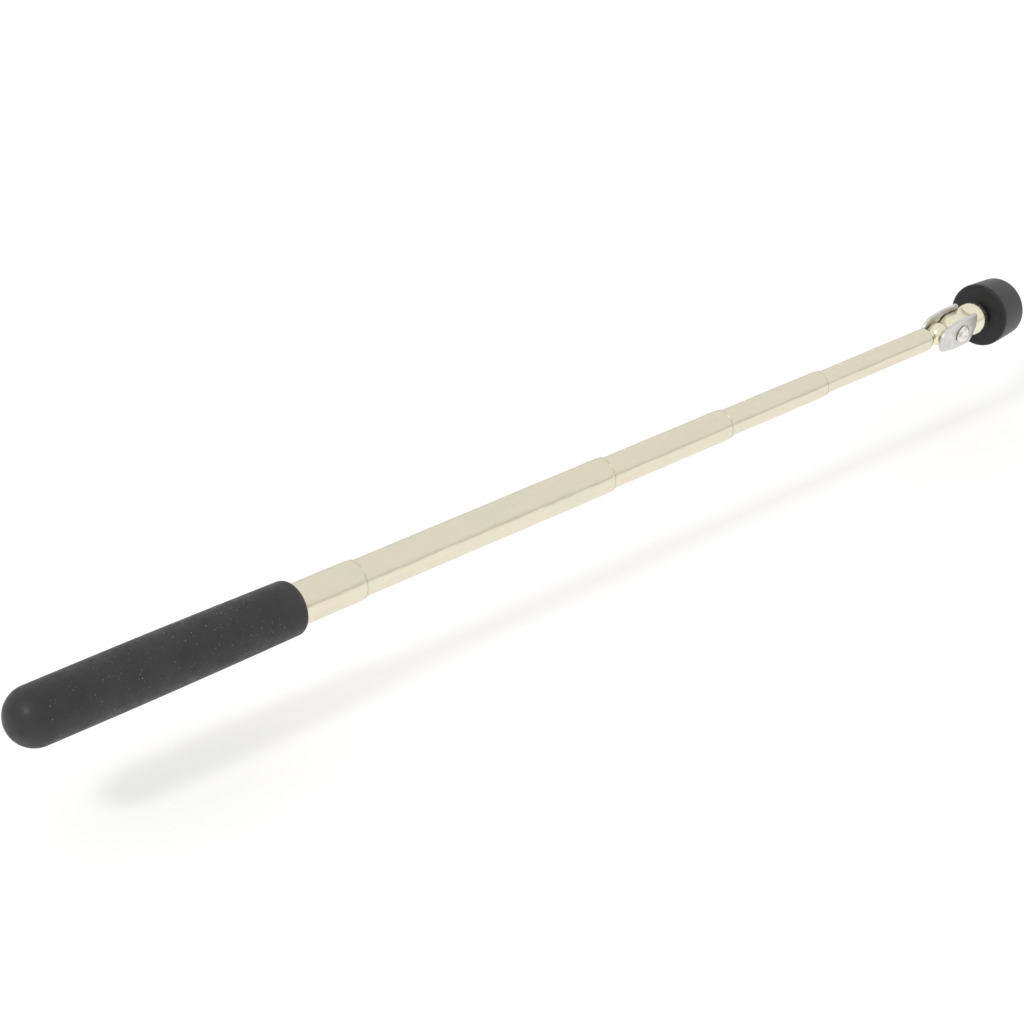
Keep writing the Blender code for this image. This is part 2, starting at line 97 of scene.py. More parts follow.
def lathe_tree():
    """Node tree that sweeps a drawn half-section round local Z and rounds its corners."""
    tree = bpy.data.node_groups.new("lathe", "GeometryNodeTree")
    socket = tree.interface.new_socket
    socket("Section", in_out="INPUT", socket_type="NodeSocketGeometry")
    socket("Facets", in_out="INPUT", socket_type="NodeSocketInt")
    socket("Rounding", in_out="INPUT", socket_type="NodeSocketFloat")
    socket("Guide Radius", in_out="INPUT", socket_type="NodeSocketFloat")
    socket("Finish", in_out="INPUT", socket_type="NodeSocketMaterial")
    socket("Turned", in_out="OUTPUT", socket_type="NodeSocketGeometry")
    add, link = tree.nodes.new, tree.links.new
    given, made = add("NodeGroupInput"), add("NodeGroupOutput")
    section = add("GeometryNodeMeshToCurve")
    rounded = add("GeometryNodeFilletCurve")
    rounded.mode = "POLY"
    rounded.inputs["Count"].default_value = 3
    rounded.inputs["Limit Radius"].default_value = True
    guide = add("GeometryNodeCurvePrimitiveCircle")
    swept = add("GeometryNodeCurveToMesh")
    welded = add("GeometryNodeMergeByDistance")
    welded.inputs["Distance"].default_value = 1e-6
    real = add("GeometryNodeRealizeInstances")
    finished = add("GeometryNodeSetMaterial")
    link(given.outputs["Section"], section.inputs["Mesh"])
    link(section.outputs["Curve"], rounded.inputs["Curve"])
    link(given.outputs["Rounding"], rounded.inputs["Radius"])
    link(given.outputs["Facets"], guide.inputs["Resolution"])
    link(given.outputs["Guide Radius"], guide.inputs["Radius"])
    link(guide.outputs["Curve"], swept.inputs["Curve"])
    link(rounded.outputs["Curve"], swept.inputs["Profile Curve"])
    link(swept.outputs["Mesh"], welded.inputs["Geometry"])
    link(welded.outputs["Geometry"], real.inputs["Geometry"])
    link(real.outputs["Geometry"], finished.inputs["Geometry"])
    link(given.outputs["Finish"], finished.inputs["Material"])
    link(finished.outputs["Geometry"], made.inputs["Turned"])
    return tree


def set_input(modifier, name, value):
    """Set a tree's named input on its modifier."""
    for item in modifier.node_group.interface.items_tree:
        if item.in_out == "INPUT" and item.name == name:
            modifier[item.identifier] = value


def made_real(drawn, name):
    """The evaluated mesh of a drawn object as a plain object, in place of the drawn one."""
    bpy.context.view_layer.update()
    graph = bpy.context.evaluated_depsgraph_get()
    mesh = bpy.data.meshes.new_from_object(drawn.evaluated_get(graph))
    bpy.data.objects.remove(drawn)
    mesh.name = name
    piece = bpy.data.objects.new(name, mesh)
    bpy.context.scene.collection.objects.link(piece)
    return piece


def smoothed(piece, angle=35):
    """Point the faces outwards and shade smooth, with sharp edges past the angle."""
    shape = bmesh.new()
    shape.from_mesh(piece.data)
    bmesh.ops.dissolve_degenerate(shape, edges=shape.edges, dist=1e-7)
    bmesh.ops.recalc_face_normals(shape, faces=shape.faces)
    shape.to_mesh(piece.data)
    shape.free()
    piece.data.shade_smooth()
    piece.data.set_sharp_from_angle(angle=math.radians(angle))
    return piece


LATHE = lathe_tree()
LATHE_GUIDE = 10.0


def turned(name, section, place, finish, rounding=0.0, facets=FINE_FACETS, closed=True):
    """A turned piece from a half-section of (radius, height) points in millimetres."""
    points = [((r - LATHE_GUIDE) * MM, -h * MM, 0.0) for r, h in section]
    edges = [(i, i + 1) for i in range(len(points) - 1)]
    if closed:
        edges.append((len(points) - 1, 0))
    mesh = bpy.data.meshes.new(name)
    mesh.from_pydata(points, edges, [])
    drawn = bpy.data.objects.new(name, mesh)
    bpy.context.scene.collection.objects.link(drawn)
    lathe = drawn.modifiers.new("lathe", "NODES")
    lathe.node_group = LATHE
    set_input(lathe, "Facets", facets)
    set_input(lathe, "Rounding", rounding * MM)
    set_input(lathe, "Guide Radius", LATHE_GUIDE * MM)
    set_input(lathe, "Finish", finish)
    piece = made_real(drawn, name)
    piece.data.transform(place)
    return smoothed(piece)


def arc(centre_r, centre_h, radius, start, end, steps):
    """Points along an arc of a half-section, in degrees from the radius towards the height."""
    angles = [math.radians(start + (end - start) * i / steps) for i in range(steps + 1)]
    return [(centre_r + radius * math.cos(a), centre_h + radius * math.sin(a)) for a in angles]


class Shader:
    """A material's node tree, with the few links that every finish here needs."""

    def __init__(self, name, colour, roughness, metallic=0.0):
        self.material = bpy.data.materials.new(name)
        self.material.use_nodes = True
        self.tree = self.material.node_tree
        self.surface = self.tree.nodes["Principled BSDF"]
        self.surface.inputs["Base Color"].default_value = (*colour, 1.0)
        self.surface.inputs["Roughness"].default_value = roughness
        self.surface.inputs["Metallic"].default_value = metallic
        self.place = self.tree.nodes.new("ShaderNodeTexCoord").outputs["Object"]

    def stretched(self, scale, offset=(0, 0, 0), turn=(0, 0, 0)):
        """Object coordinates through a Mapping node."""
        mapping = self.tree.nodes.new("ShaderNodeMapping")
        mapping.vector_type = "TEXTURE"
        mapping.inputs["Location"].default_value = offset
        mapping.inputs["Rotation"].default_value = turn
        mapping.inputs["Scale"].default_value = scale
        self.tree.links.new(self.place, mapping.inputs["Vector"])
        return mapping.outputs["Vector"]

    def noise(self, size, vector=None, detail=3.0):
        """Noise whose lumps are about size metres across."""
        texture = self.tree.nodes.new("ShaderNodeTexNoise")
        texture.inputs["Scale"].default_value = 1.0 / size
        texture.inputs["Detail"].default_value = detail
        texture.inputs["Roughness"].default_value = 0.55
        self.tree.links.new(vector or self.place, texture.inputs["Vector"])
        return texture.outputs["Fac"]

    def ramp(self, value, stops):
        """A colour ramp from (position, grey or colour) stops."""
        ramp = self.tree.nodes.new("ShaderNodeValToRGB")
        elements = ramp.color_ramp.elements
        while len(elements) < len(stops):
            elements.new(0.5)
        for element, (position, tone) in zip(elements, stops):
            element.position = position
            colour = tone if isinstance(tone, tuple) else (tone, tone, tone)
            element.color = (*colour, 1.0)
        self.tree.links.new(value, ramp.inputs["Fac"])
        return ramp.outputs["Color"]

    def bump(self, height, depth, distance=0.1 * MM):
        """Add a bump on top of any that is already there."""
        bump = self.tree.nodes.new("ShaderNodeBump")
        bump.inputs["Strength"].default_value = depth
        bump.inputs["Distance"].default_value = distance
        self.tree.links.new(height, bump.inputs["Height"])
        below = self.surface.inputs["Normal"]
        if below.is_linked:
            self.tree.links.new(below.links[0].from_socket, bump.inputs["Normal"])
        self.tree.links.new(bump.outputs["Normal"], below)

    def feed(self, socket, output):
        """Link an output to one of the surface's own sockets."""
        self.tree.links.new(output, self.surface.inputs[socket])


def black_vinyl():
    """Matt dip-moulded vinyl: slightly cloudy, with a fine skin texture and tiny pores."""
    vinyl = Shader("black_vinyl", (0.02, 0.02, 0.022), 0.5)
    vinyl.surface.inputs["Specular IOR Level"].default_value = 0.4
    cloud = vinyl.noise(14 * MM, detail=4.0)
    tones = [(0.3, (0.018, 0.018, 0.020)), (0.7, (0.031, 0.031, 0.034))]
    vinyl.feed("Base Color", vinyl.ramp(cloud, tones))
    vinyl.feed("Roughness", vinyl.ramp(vinyl.noise(2.5 * MM), [(0.3, 0.40), (0.7, 0.62)]))
    vinyl.bump(vinyl.noise(0.35 * MM, detail=2.0), 0.35, 0.06 * MM)
    vinyl.bump(vinyl.noise(5 * MM, detail=2.0), 0.3, 0.25 * MM)
    return vinyl.material


def grip_radius(along):
    """Outer radius of the sleeve between its butt and its lip."""
    share = max(0.0, (along - GRIP_STRAIGHT) / (barrel_end - GRIP_STRAIGHT))
    return GRIP_RADIUS - (GRIP_RADIUS - GRIP_MOUTH_RADIUS) * min(1.0, share) ** GRIP_TAPER_POWER


barrel_end = GRIP_LENGTH - GRIP_LIP
lip = arc(GRIP_MOUTH_RADIUS - GRIP_LIP, barrel_end, GRIP_LIP, GRIP_LIP_START, 0, steps=10)
barrel = [GRIP_RADIUS + (barrel_end - GRIP_RADIUS) * i / BARREL_STEPS for i in range(BARREL_STEPS)]
skin_section = [(grip_radius(h), h) for h in reversed(barrel)]
sleeve_section = lip + skin_section + arc(0, GRIP_RADIUS, GRIP_RADIUS, 0, -90, steps=20)[1:]
sleeve_section += [(0, GRIP_BUTT_WALL), (GRIP_BORE, GRIP_BUTT_WALL)]
sleeve_section += [(GRIP_BORE, GRIP_LENGTH - GRIP_BORE_SETBACK)]
sleeve = turned("grip", sleeve_section, tool_line, black_vinyl())
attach(sleeve, "handle")
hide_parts("grip_sleeve")

# ---------------------------------------------------------------------------------------
# Specks on the grip
# Trapped air leaves small pimples in the vinyl's skin, which rub pale. They are scattered
# over the sleeve, denser towards the mouth, and sit half sunk in its surface.
# ---------------------------------------------------------------------------------------

SPECK_DENSITY = 1.6       # to the square millimetre, where they are thickest
SPECK_CLUMP = 6.0         # size of the patches they come in
CLUMP_EDGE = 0.42         # noise below which there are none
CLUMP_MIDDLE = 0.68       # and above which they are thickest
BUTT_SHARE = 0.2          # how thick they are at the butt, as a share of that
SPECK_SMALLEST = 0.03
SPECK_LARGEST = 0.105
SPECK_HEIGHT = 0.45       # as a share of a speck's radius
SPECK_SEED = 11


def speck_tree():
    """Node tree that scatters flattened beads over a surface, in clumps and towards the mouth."""
    tree = bpy.data.node_groups.new("scatter_specks", "GeometryNodeTree")
    socket = tree.interface.new_socket
    socket("Surface", in_out="INPUT", socket_type="NodeSocketGeometry")
    socket("Density", in_out="INPUT", socket_type="NodeSocketFloat")
    socket("Smallest", in_out="INPUT", socket_type="NodeSocketFloat")
    socket("Largest", in_out="INPUT", socket_type="NodeSocketFloat")
    socket("Seed", in_out="INPUT", socket_type="NodeSocketInt")
    socket("Finish", in_out="INPUT", socket_type="NodeSocketMaterial")
    socket("Specks", in_out="OUTPUT", socket_type="NodeSocketGeometry")
    add, link = tree.nodes.new, tree.links.new
    given, made = add("NodeGroupInput"), add("NodeGroupOutput")
    scattered = add("GeometryNodeDistributePointsOnFaces")
    bead = add("GeometryNodeMeshIcoSphere")
    bead.inputs["Radius"].default_value = 1.0
    bead.inputs["Subdivisions"].default_value = 1
    size = add("FunctionNodeRandomValue")
    size.data_type = "FLOAT"
    flat_size = add("ShaderNodeCombineXYZ")
    flatter = add("ShaderNodeMath")
    flatter.operation = "MULTIPLY"
    flatter.inputs[1].default_value = SPECK_HEIGHT
    clumps = add("ShaderNodeTexNoise")
    clumps.inputs["Scale"].default_value = 1.0 / (SPECK_CLUMP * MM)
    thinned = add("ShaderNodeMapRange")
    thinned.inputs["From Min"].default_value = CLUMP_EDGE
    thinned.inputs["From Max"].default_value = CLUMP_MIDDLE
    dense = add("ShaderNodeMath")
    dense.operation = "MULTIPLY"
    place = add("GeometryNodeInputPosition")
    split = add("ShaderNodeSeparateXYZ")
    forward = add("ShaderNodeMapRange")
    forward.inputs["From Min"].default_value = butt_end
    forward.inputs["From Max"].default_value = butt_end + GRIP_LENGTH * MM
    forward.inputs["To Min"].default_value = BUTT_SHARE
    toward_mouth = add("ShaderNodeMath")
    toward_mouth.operation = "MULTIPLY"
    placed = add("GeometryNodeInstanceOnPoints")
    real = add("GeometryNodeRealizeInstances")
    finished = add("GeometryNodeSetMaterial")
    smallest, largest = size.inputs[2], size.inputs[3]
    link(given.outputs["Surface"], scattered.inputs["Mesh"])
    link(clumps.outputs["Fac"], thinned.inputs["Value"])
    link(thinned.outputs["Result"], dense.inputs[0])
    link(given.outputs["Density"], dense.inputs[1])
    link(place.outputs["Position"], split.inputs["Vector"])
    link(split.outputs["X"], forward.inputs["Value"])
    link(dense.outputs[0], toward_mouth.inputs[0])
    link(forward.outputs["Result"], toward_mouth.inputs[1])
    link(toward_mouth.outputs[0], scattered.inputs["Density"])
    link(given.outputs["Seed"], scattered.inputs["Seed"])
    link(given.outputs["Smallest"], smallest)
    link(given.outputs["Largest"], largest)
    link(given.outputs["Seed"], size.inputs["Seed"])
    link(size.outputs[1], flat_size.inputs["X"])
    link(size.outputs[1], flat_size.inputs["Y"])
    link(size.outputs[1], flatter.inputs[0])
    link(flatter.outputs[0], flat_size.inputs["Z"])
    link(scattered.outputs["Points"], placed.inputs["Points"])
    link(bead.outputs["Mesh"], placed.inputs["Instance"])
    link(scattered.outputs["Rotation"], placed.inputs["Rotation"])
    link(flat_size.outputs["Vector"], placed.inputs["Scale"])
    link(placed.outputs["Instances"], real.inputs["Geometry"])
    link(real.outputs["Geometry"], finished.inputs["Geometry"])
    link(given.outputs["Finish"], finished.inputs["Material"])
    link(finished.outputs["Geometry"], made.inputs["Specks"])
    return tree


def rubbed_vinyl():
    """The pale tips of the pimples, some whiter than others."""
    pale = Shader("rubbed_vinyl", (0.2, 0.2, 0.2), 0.6)
    pale.feed("Base Color", pale.ramp(pale.noise(3 * MM), [(0.4, 0.07), (0.62, 0.5)]))
    return pale.material


skin = turned("specks", skin_section, tool_line, None, closed=False)
scatter = skin.modifiers.new("scatter", "NODES")
scatter.node_group = speck_tree()
set_input(scatter, "Density", SPECK_DENSITY / MM**2)
set_input(scatter, "Smallest", SPECK_SMALLEST * MM)
set_input(scatter, "Largest", SPECK_LARGEST * MM)
set_input(scatter, "Seed", SPECK_SEED)
set_input(scatter, "Finish", rubbed_vinyl())
specks = made_real(skin, "grip_specks")
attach(specks, "handle")

# ---------------------------------------------------------------------------------------
# Telescopic tubes
# Five drawn tubes, plated bright with a warm tint. Each mouth is rolled in over its last
# few millimetres to run on the next tube, and leaves a thin bright lip.
# ---------------------------------------------------------------------------------------

TUBE_WALL = 0.35
RUN = 0.08                # running clearance on a radius
ROLL_LENGTH = 2.6
ROLL_STEPS = 6
LIP_ROUNDING = 0.08
BEAD_LENGTH = 0.45        # plain bead at a mouth, with a narrow groove behind it
GROOVE_WIDTH = 0.35
GROOVE_DEPTH = 0.22
GROOVE_STEP = 0.02        # the groove's rear edge stands this much above the bead
TUBE_NAMES = ["tube_1", "tube_2", "tube_3", "tube_4", "tube_5"]
TUBE_BODIES = ["handle", "section_2", "section_3", "section_4", "section_5"]


def tube_size(node):
    """Outer radius, rear end and front end of a tube in millimetres from the butt."""
    low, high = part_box(node)
    return (high.y - low.y) / 2 / MM, (low.x - butt_end) / MM, (high.x - butt_end) / MM


def warm_plate():
    """Warm nickel plate with faint draw lines along the tube and cloudy handling marks."""
    plate = Shader("warm_plate", (0.78, 0.73, 0.62), 0.2, 1.0)
    cloud = plate.noise(7 * MM, plate.stretched((2.5, 1.0, 1.0)))
    stops = [(0.34, (0.78, 0.70, 0.59)), (0.5, (0.78, 0.73, 0.58)), (0.66, (0.73, 0.72, 0.58))]
    plate.feed("Base Color", plate.ramp(cloud, stops))
    lines = plate.noise(0.5 * MM, plate.stretched((60.0, 1.0, 1.0)), detail=4.0)
    plate.feed("Roughness", plate.ramp(lines, [(0.25, 0.17), (0.75, 0.30)]))
    plate.bump(lines, 0.12, 0.01 * MM)
    waves = plate.noise(3.5 * MM, plate.stretched((3.0, 1.0, 1.0)), detail=2.0)
    plate.bump(waves, 0.5, 0.3 * MM)
    return plate.material


plate_finish = warm_plate()
tube_sizes = [tube_size(node) for node in TUBE_NAMES]
for index in range(len(TUBE_NAMES) - 1):
    outer, rear, front = tube_sizes[index]
    mouth = tube_sizes[index + 1][0] + RUN
    tip = mouth + TUBE_WALL
    roll = []
    # The bead and its groove take the place of the roll's last two points.
    for i in range(ROLL_STEPS - 1):
        share = i / ROLL_STEPS
        rolled_in = (outer - tip) * (1 - math.cos(share * math.pi / 2))
        roll.append((outer - rolled_in, front - ROLL_LENGTH * (1 - share)))
    groove_front = front - BEAD_LENGTH
    groove_rear = groove_front - GROOVE_WIDTH
    groove = [(tip, groove_front), (tip - GROOVE_DEPTH, groove_front)]
    groove += [(tip - GROOVE_DEPTH, groove_rear), (tip + GROOVE_STEP, groove_rear)]
    section = [(mouth, front), (tip, front), *groove, *reversed(roll)]
    section += [(outer, rear), (outer - TUBE_WALL, rear)]
    section += [(outer - TUBE_WALL, front - ROLL_LENGTH), (mouth, front - ROLL_LENGTH / 2)]
    tube = turned(f"plated_{TUBE_NAMES[index]}", section, tool_line, plate_finish, LIP_ROUNDING)
    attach(tube, TUBE_BODIES[index])
    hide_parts(TUBE_NAMES[index])

# ---------------------------------------------------------------------------------------
# Last tube
# The thinnest tube is spun in to a round nose, which holds the bush that the ball stud
# spins in and leaves a small hole for the stud's neck.
# ---------------------------------------------------------------------------------------

NOSE_LENGTH = 1.6
NOSE_RADIUS = 2.59
REST = 0.2                # gap between two pieces that are fixed face to face

outer, rear, front = tube_sizes[-1]
nose = arc(0, 0, 1, 0, 90, steps=8)
nose = [(NOSE_RADIUS + (outer - NOSE_RADIUS) * r, front - NOSE_LENGTH * (1 - h)) for r, h in nose]
nose_lip = NOSE_RADIUS - TUBE_WALL
section = [(nose_lip, front), *reversed(nose), (outer, rear), (outer - TUBE_WALL, rear)]
section += [(outer - TUBE_WALL, front - NOSE_LENGTH - REST), (nose_lip, front - TUBE_WALL - REST)]
last_tube = turned("plated_tube_5", section, tool_line, plate_finish, LIP_ROUNDING)
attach(last_tube, TUBE_BODIES[-1])
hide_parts("tube_5")

# ---------------------------------------------------------------------------------------
# Pieces inside the tubes
# The end plug, the stop bushes and the nose bush are turned brass. The friction springs
# are rolled bronze strip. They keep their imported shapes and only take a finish.
# ---------------------------------------------------------------------------------------


def turned_metal(name, colour, roughness):
    """Metal as it comes off the lathe, with fine rings and a slight tarnish."""
    metal = Shader(name, colour, roughness, 1.0)
    rings = metal.noise(0.12 * MM, metal.stretched((1.0, 40.0, 40.0)), detail=2.0)
    tarnish = metal.noise(3 * MM, detail=4.0)
    darker = tuple(part * 0.78 for part in colour)
    metal.feed("Base Color", metal.ramp(tarnish, [(0.35, darker), (0.65, colour)]))
    metal.feed("Roughness", metal.ramp(rings, [(0.3, roughness * 0.8), (0.7, roughness * 1.3)]))
    metal.bump(rings, 0.25, 0.02 * MM)
    return metal.material


def refinished(node, finish):
    """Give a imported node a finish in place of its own."""
    piece = frame["nodes"][node]
    piece.data.materials.clear()
    piece.data.materials.append(finish)


brass_finish = turned_metal("turned_brass", (0.66, 0.51, 0.25), 0.28)
bronze_finish = turned_metal("spring_bronze", (0.60, 0.38, 0.20), 0.34)
grey_turned = turned_metal("grey_turned_steel", (0.50, 0.50, 0.49), 0.38)
refinished("tube_plug", brass_finish)
refinished("nose_bush", brass_finish)
refinished("stud_washer", grey_turned)
for number in range(2, len(TUBE_NAMES) + 1):
    refinished(f"stop_bush_{number}", brass_finish)
    refinished(f"friction_spring_{number}", bronze_finish)

# ---------------------------------------------------------------------------------------
# Ball stud
# One turned piece in yellow zinc plate: a ball for the link, a neck through the nose, and
# a shank whose end is upset behind its washer.
# ---------------------------------------------------------------------------------------

BALL_RADIUS = 3.5
STUD_RADIUS = 1.61
STUD_HEAD_RADIUS = 2.485
STUD_HEAD = 1.0
STUD_ROUNDING = 0.06
PIN_FACETS = 64


def yellow_zinc():
    """Bright zinc with a yellow passivate that drifts to green and rose in places."""
    zinc = Shader("yellow_zinc", (0.84, 0.79, 0.60), 0.2, 1.0)
    drift = zinc.noise(3.5 * MM, detail=2.0)
    stops = [(0.3, (0.80, 0.76, 0.64)), (0.5, (0.88, 0.82, 0.62)), (0.7, (0.78, 0.80, 0.60))]
    zinc.feed("Base Color", zinc.ramp(drift, stops))
    zinc.feed("Roughness", zinc.ramp(zinc.noise(0.8 * MM), [(0.3, 0.15), (0.7, 0.28)]))
    zinc.bump(zinc.noise(0.25 * MM, detail=2.0), 0.1, 0.02 * MM)
    return zinc.material


zinc_finish = yellow_zinc()
stud_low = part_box("swivel_stud")[0].x
shank_end = (stud_low - ball_centre.x) / MM + STUD_HEAD
neck_angle = math.degrees(math.asin(STUD_RADIUS / BALL_RADIUS))
section = arc(0, 0, BALL_RADIUS, 90, -90 + neck_angle, steps=28)
section += [(STUD_RADIUS, shank_end), (STUD_HEAD_RADIUS, shank_end)]
section += [(STUD_HEAD_RADIUS, shank_end - STUD_HEAD), (0, shank_end - STUD_HEAD)]
stud_line = axis_frame(ball_centre, (1, 0, 0), (0, 1, 0))
stud = turned("ball_stud", section, stud_line, zinc_finish, STUD_ROUNDING, PIN_FACETS, closed=False)
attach(stud, "swivel")
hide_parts("swivel_stud")

# ---------------------------------------------------------------------------------------
# Link plates
# Two plates blanked from grey-zinc strip, one each side of the ball, with a seat pressed
# into each for the ball. Blanking leaves a soft edge and tumbling dulls the faces.
# ---------------------------------------------------------------------------------------

PLATE_INNER = 3.1         # from the middle of the link to a plate's inner face
PLATE_THICKNESS = 0.9
PLATE_LOBE = 4.4          # round end about the ball
PLATE_LOBE_OFFSET = 0.4   # its centre is this far from the ball's, towards the rivet
PLATE_HALF_HEIGHT = 5.0
PLATE_END_RADIUS = 8.2    # round end about the rivet
PLATE_CORNER = 1.2
PLATE_EDGE = 0.16         # softening of the blanked edge
SEAT_RADIUS = 3.62
RIVET_RADIUS = 1.5
RIVET_HEAD_RADIUS = 2.75
LINK_REACH = (rivet_centre - ball_centre).length / MM


def grey_zinc():
    """Tumbled grey zinc: patchy, soft sheen, small dents."""
    zinc = Shader("grey_zinc", (0.40, 0.40, 0.39), 0.38, 1.0)
    patch = zinc.noise(2.2 * MM, detail=4.0)
    tones = [(0.3, (0.60, 0.60, 0.60)), (0.7, (0.76, 0.745, 0.72))]
    zinc.feed("Base Color", zinc.ramp(patch, tones))
    zinc.feed("Roughness", zinc.ramp(zinc.noise(0.9 * MM), [(0.3, 0.3), (0.7, 0.5)]))
    zinc.bump(zinc.noise(0.4 * MM), 0.25, 0.03 * MM)
    return zinc.material


def blanked(name, outlines, thickness, edge):
    """A flat blank in local XY with softened edges; later outlines are holes."""
    curve = bpy.data.curves.new(name, "CURVE")
    curve.dimensions = "2D"
    curve.fill_mode = "BOTH"
    curve.extrude = (thickness / 2 - edge) * MM
    curve.bevel_depth = edge * MM
    curve.bevel_resolution = 2
    curve.offset = -edge * MM
    for outline in outlines:
        spline = curve.splines.new("POLY")
        spline.points.add(len(outline) - 1)
        for point, (x, y) in zip(spline.points, outline):
            point.co = (x * MM, y * MM, 0.0, 1.0)
        spline.use_cyclic_u = True
    drawn = bpy.data.objects.new(name, curve)
    bpy.context.scene.collection.objects.link(drawn)
    piece = made_real(drawn, name)
    shape = bmesh.new()
    shape.from_mesh(piece.data)
    bmesh.ops.remove_doubles(shape, verts=shape.verts, dist=1e-6)
    shape.to_mesh(piece.data)
    shape.free()
    return piece


def cut_by(piece, tool, operation="DIFFERENCE"):
    """Apply a Boolean with a tool, then remove the tool."""
    cut = piece.modifiers.new("cut", "BOOLEAN")
    cut.operation = operation
    cut.solver = "EXACT"
    cut.object = tool
    name = piece.name
    piece.name = name + "_uncut"
    result = made_real(piece, name)
    bpy.data.objects.remove(tool)
    return result


corner_rise = PLATE_HALF_HEIGHT - PLATE_CORNER
corner_reach = math.sqrt((PLATE_END_RADIUS - PLATE_CORNER) ** 2 - corner_rise**2)
corner_angle = math.degrees(math.atan2(corner_rise, corner_reach))
corner_x = LINK_REACH + corner_reach
shoulder = LINK_REACH - RIVET_HEAD_RADIUS
rise = math.degrees(math.atan2(PLATE_HALF_HEIGHT - PLATE_LOBE, shoulder - PLATE_LOBE_OFFSET))
plate_outline = arc(corner_x, -corner_rise, PLATE_CORNER, -90, -corner_angle, steps=8)
plate_outline += arc(LINK_REACH, 0, PLATE_END_RADIUS, -corner_angle, corner_angle, steps=16)[1:-1]
plate_outline += arc(corner_x, corner_rise, PLATE_CORNER, corner_angle, 90, steps=8)
plate_outline += [(shoulder, PLATE_HALF_HEIGHT)]
plate_outline += arc(PLATE_LOBE_OFFSET, 0, PLATE_LOBE, 90 - rise, 270 + rise, steps=36)
plate_outline += [(shoulder, -PLATE_HALF_HEIGHT)]
rivet_hole = arc(LINK_REACH, 0, RIVET_RADIUS + RUN, 0, 360, steps=32)[:-1]
seat_section = arc(0, 0, SEAT_RADIUS, 90, -90, steps=32)
flat_in_link = Matrix.Rotation(math.radians(90), 4, "X")
upright = Matrix.Rotation(math.radians(-90), 4, "Y")
grey_finish = grey_zinc()
for side, node in ((-1, "link_plate_front"), (1, "link_plate_rear")):
    plate = blanked(f"stamped_{node}", [plate_outline, rivet_hole], PLATE_THICKNESS, PLATE_EDGE)
    middle = (PLATE_INNER + PLATE_THICKNESS / 2) * side
    plate.data.transform(Matrix.Translation((0, middle * MM, 0)) @ flat_in_link)
    seat = turned("seat", seat_section, Matrix.Identity(4), None, 0.0, PIN_FACETS, closed=False)
    plate = cut_by(plate, seat)
    plate.data.transform(ball_line @ upright)
    plate.data.materials.clear()
    plate.data.materials.append(grey_finish)
    smoothed(plate, 30)
    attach(plate, "link")
    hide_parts(node)

# ---------------------------------------------------------------------------------------
# Link rivet
# A steel rivet through both plates and the stem's tongue. Its ends are spun over into
# domes with a small dimple left by the tool, and the high spots are polished.
# ---------------------------------------------------------------------------------------

RIVET_HEAD = 1.5
RIVET_DIMPLE = 0.95
RIVET_DIMPLE_DEPTH = 0.55
DOME_STEPS = 12


def polished_zinc():
    """Zinc burnished by the riveting tool, in random patches of bright, smooth metal and duller, rougher metal."""
    zinc = Shader("polished_zinc", (0.68, 0.66, 0.62), 0.16, 1.0)
    streak = zinc.noise(1.1 * MM, detail=2.0)
    tones = [(0.3, (0.55, 0.53, 0.49)), (0.55, (0.90, 0.87, 0.80))]
    zinc.feed("Base Color", zinc.ramp(streak, tones))
    zinc.feed("Roughness", zinc.ramp(streak, [(0.3, 0.28), (0.6, 0.12)]))
    zinc.bump(zinc.noise(1.3 * MM, detail=1.0), 0.4, 0.12 * MM)
    return zinc.material


head_base = PLATE_INNER + PLATE_THICKNESS + REST
dome = []
for i in range(DOME_STEPS + 1):
    share = i / DOME_STEPS
    r = RIVET_DIMPLE + (RIVET_HEAD_RADIUS - RIVET_DIMPLE) * share
    dome.append((r, head_base + RIVET_HEAD * math.sqrt(max(0.0, 1 - share**2))))
dimple = [(0, head_base + RIVET_HEAD - RIVET_DIMPLE_DEPTH)]
dimple.append((RIVET_DIMPLE * 0.55, head_base + RIVET_HEAD - RIVET_DIMPLE_DEPTH * 0.8))
top = dimple + dome + [(RIVET_RADIUS, head_base)]
section = top + [(r, -h) for r, h in reversed(top)]
rivet_line = axis_frame(rivet_centre, rivet_axis, -link_axis)
rivet = turned("spun_rivet", section, rivet_line, polished_zinc(), 0.0, PIN_FACETS, closed=False)
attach(rivet, "link")
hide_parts("link_rivet")

# ---------------------------------------------------------------------------------------
# Magnet stem
# Turned from steel bar and plated with yellow zinc: a round boss, a milled tongue between
# the plates for the rivet, and a tail that is riveted over inside the magnet's cup.
# ---------------------------------------------------------------------------------------

TONGUE_RADIUS = 3.3
TONGUE_HALF = 2.7
TONGUE_EDGE = 0.12
BOSS_RADIUS = 5.1
BOSS_REACH = 11.9         # from the rivet to the boss's centre
HEAD_REACH = 16.0         # and to the back of the head
FLAT_END = 8.6            # and to the end of the milled flats
TAIL_LENGTH = 3.6         # through the shroud's back and the cup's base
TAIL_RADIUS = 2.0
TAIL_HEAD_RADIUS = 3.0
TAIL_HEAD = 0.9
DRILL_HALF = 8.0
DRILL_FACETS = 48

